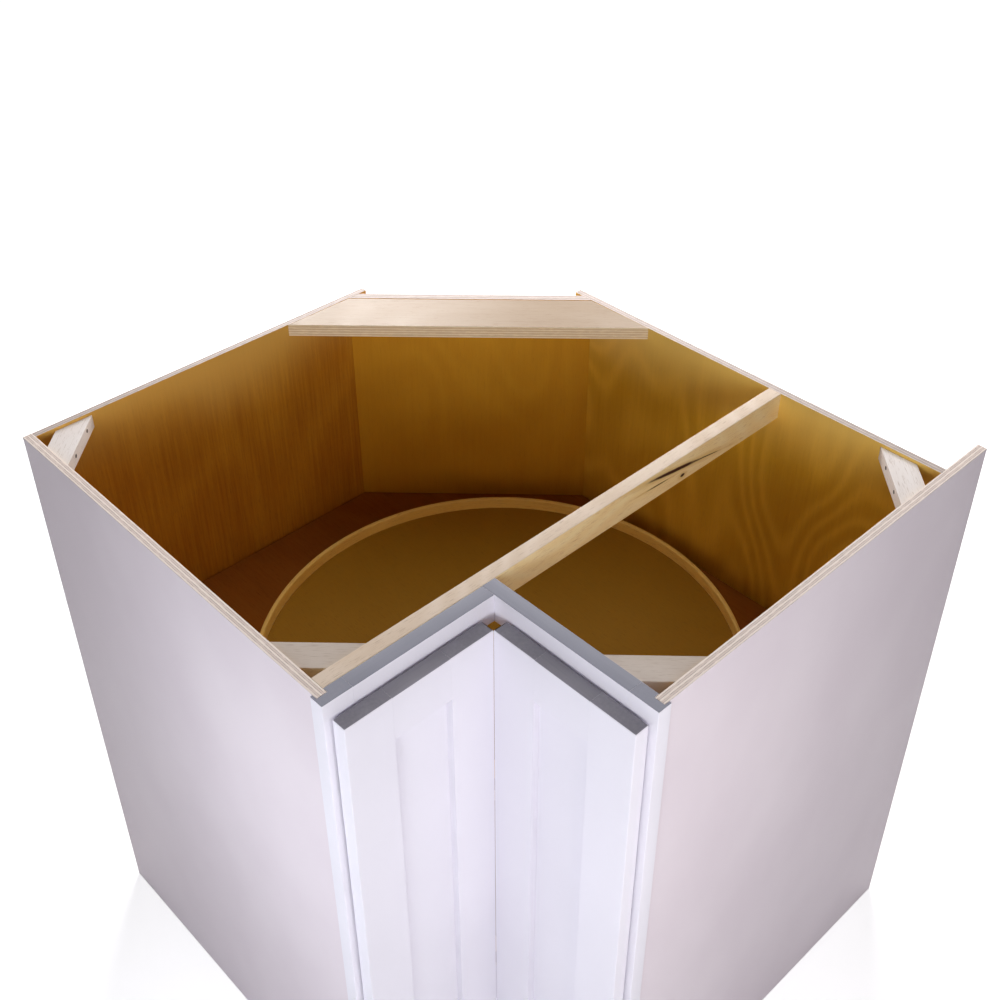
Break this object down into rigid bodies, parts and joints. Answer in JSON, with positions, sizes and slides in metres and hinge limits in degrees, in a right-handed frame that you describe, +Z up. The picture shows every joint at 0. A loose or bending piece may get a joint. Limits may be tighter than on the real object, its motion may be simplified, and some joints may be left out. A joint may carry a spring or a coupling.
{
  "type": "corner carousel cabinet",
  "caption": "L-shaped corner base cabinet with a cut-off back corner, a bifold pair of recessed-panel doors and kidney-shaped carousel trays on flat bearings.",
  "frame": {"origin": "middle of the square footprint, on the floor", "axes": "+Z up; the room walls lie on -X and +Y; the door corner opens towards +X and -Y"},
  "size_m": [0.8382, 0.8382, 0.8763],
  "materials": {
    "white_paint": "sprayed white paint, satin",
    "end_panel_skin": "white faced plywood, satin, with bare ply edges",
    "clear_plywood": "birch plywood, clear lacquer",
    "pale_softwood": "bare softwood",
    "tray_veneer": "plywood tray floor, clear lacquer",
    "bent_rim": "bent plywood rim, clear lacquer",
    "zinc_steel": "zinc plated pressed steel",
    "clear_bumper": "clear soft plastic dot"
  },
  "bodies": {
    "cabinet": {"left_end_panel": "end_panel_skin", "right_end_panel": "end_panel_skin", "left_wall_panel": "clear_plywood", "right_wall_panel": "clear_plywood", "diagonal_back_panel": "clear_plywood", "floor_panel": "clear_plywood", "fixed_shelf": "clear_plywood", "back_stretcher": "clear_plywood", "support_beam": "pale_softwood", "front_left_brace": "pale_softwood", "front_right_brace": "pale_softwood", "back_left_brace": "pale_softwood", "back_right_brace": "pale_softwood", "left_frame_stile": "white_paint", "left_frame_top_rail": "white_paint", "left_frame_bottom_rail": "white_paint", "left_toe_board": "white_paint", "right_frame_stile": "white_paint", "right_frame_top_rail": "white_paint", "right_frame_bottom_rail": "white_paint", "right_toe_board": "white_paint", "upper_frame_hinge_arm": "zinc_steel", "lower_frame_hinge_arm": "zinc_steel", "upper_bearing_base_ring": "zinc_steel", "lower_bearing_base_ring": "zinc_steel"},
    "left_door": {"left_door_corner_stile": "white_paint", "left_door_outer_stile": "white_paint", "left_door_top_rail": "white_paint", "left_door_bottom_rail": "white_paint", "left_door_panel": "white_paint", "left_door_top_bumper": "clear_bumper", "left_door_bottom_bumper": "clear_bumper", "upper_frame_hinge_cup": "zinc_steel", "lower_frame_hinge_cup": "zinc_steel", "upper_fold_hinge_plate": "zinc_steel", "lower_fold_hinge_plate": "zinc_steel"},
    "right_door": {"right_door_corner_stile": "white_paint", "right_door_outer_stile": "white_paint", "right_door_top_rail": "white_paint", "right_door_bottom_rail": "white_paint", "right_door_panel": "white_paint", "right_door_top_bumper": "clear_bumper", "right_door_bottom_bumper": "clear_bumper", "upper_fold_hinge_cup": "zinc_steel", "lower_fold_hinge_cup": "zinc_steel"},
    "upper_tray": {"upper_tray_floor": "tray_veneer", "upper_tray_rim": "bent_rim", "upper_bearing_top_ring": "zinc_steel"},
    "lower_tray": {"lower_tray_floor": "tray_veneer", "lower_tray_rim": "bent_rim", "lower_bearing_top_ring": "zinc_steel"}
  },
  "joints": [
    {"name": "door_swing", "type": "hinge", "parent": "cabinet", "child": "left_door", "pos_m": [0.21245, -0.4109, 0.4893], "axis": [0, 0, -1], "range_deg": [0, 165]},
    {"name": "door_fold", "type": "hinge", "parent": "left_door", "child": "right_door", "pos_m": [0.21245, -0.21245, 0.4893], "axis": [0, 0, 1], "range_deg": [0, 60]},
    {"name": "upper_tray_spin", "type": "hinge", "parent": "cabinet", "child": "upper_tray", "pos_m": [0.0254, -0.0254, 0.531], "axis": [0, 0, 1], "continuous": true},
    {"name": "lower_tray_spin", "type": "hinge", "parent": "cabinet", "child": "lower_tray", "pos_m": [0.0254, -0.0254, 0.1614], "axis": [0, 0, 1], "continuous": true}
  ],
  "couplings": [
    {"joint": "door_fold", "follows": "door_swing", "ratio": 0.3636},
    {"joint": "upper_tray_spin", "follows": "door_swing", "ratio": 1},
    {"joint": "lower_tray_spin", "follows": "door_swing", "ratio": 1}
  ]
}
